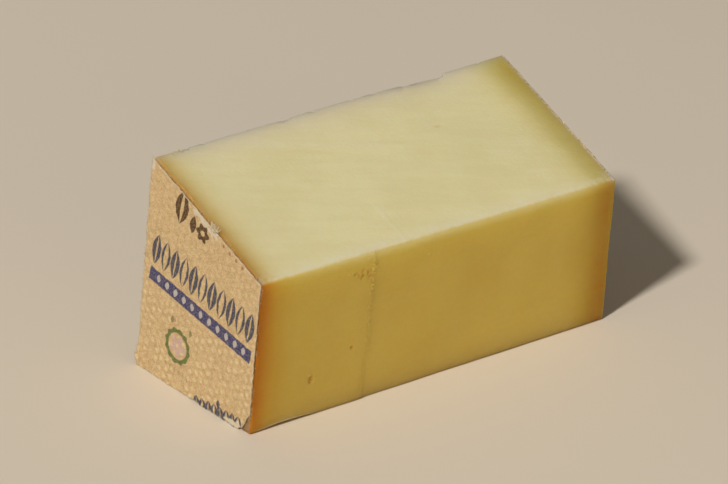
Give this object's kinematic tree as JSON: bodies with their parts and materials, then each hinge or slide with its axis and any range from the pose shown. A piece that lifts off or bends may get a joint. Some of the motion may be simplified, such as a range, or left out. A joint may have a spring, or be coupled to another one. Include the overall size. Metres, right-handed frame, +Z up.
{
  "type": "cheese wedge",
  "caption": "Wedge of hard pale-yellow cheese with a sloping top, cut from a wheel, with brown rind at its short ends and a torn, printed paper label glued to one; lies on a flat cut face.",
  "frame": {"origin": "middle of the bounding box's base, on the surface the wedge lies on", "axes": "+X along the length from the labelled rind to the bare rind, +Y from the low front face to the high back face, +Z up"},
  "size_m": [0.1106, 0.0436, 0.0537],
  "materials": {
    "cheese": "firm, slightly oily cut cheese paste, translucent at the edges, browner towards the rind",
    "label_paper": "tan printed paper with a raised dot emboss and torn, fibrous edges"
  },
  "bodies": {
    "root": {"cheese": "cheese", "paper_label": "label_paper"}
  },
  "joints": []
}
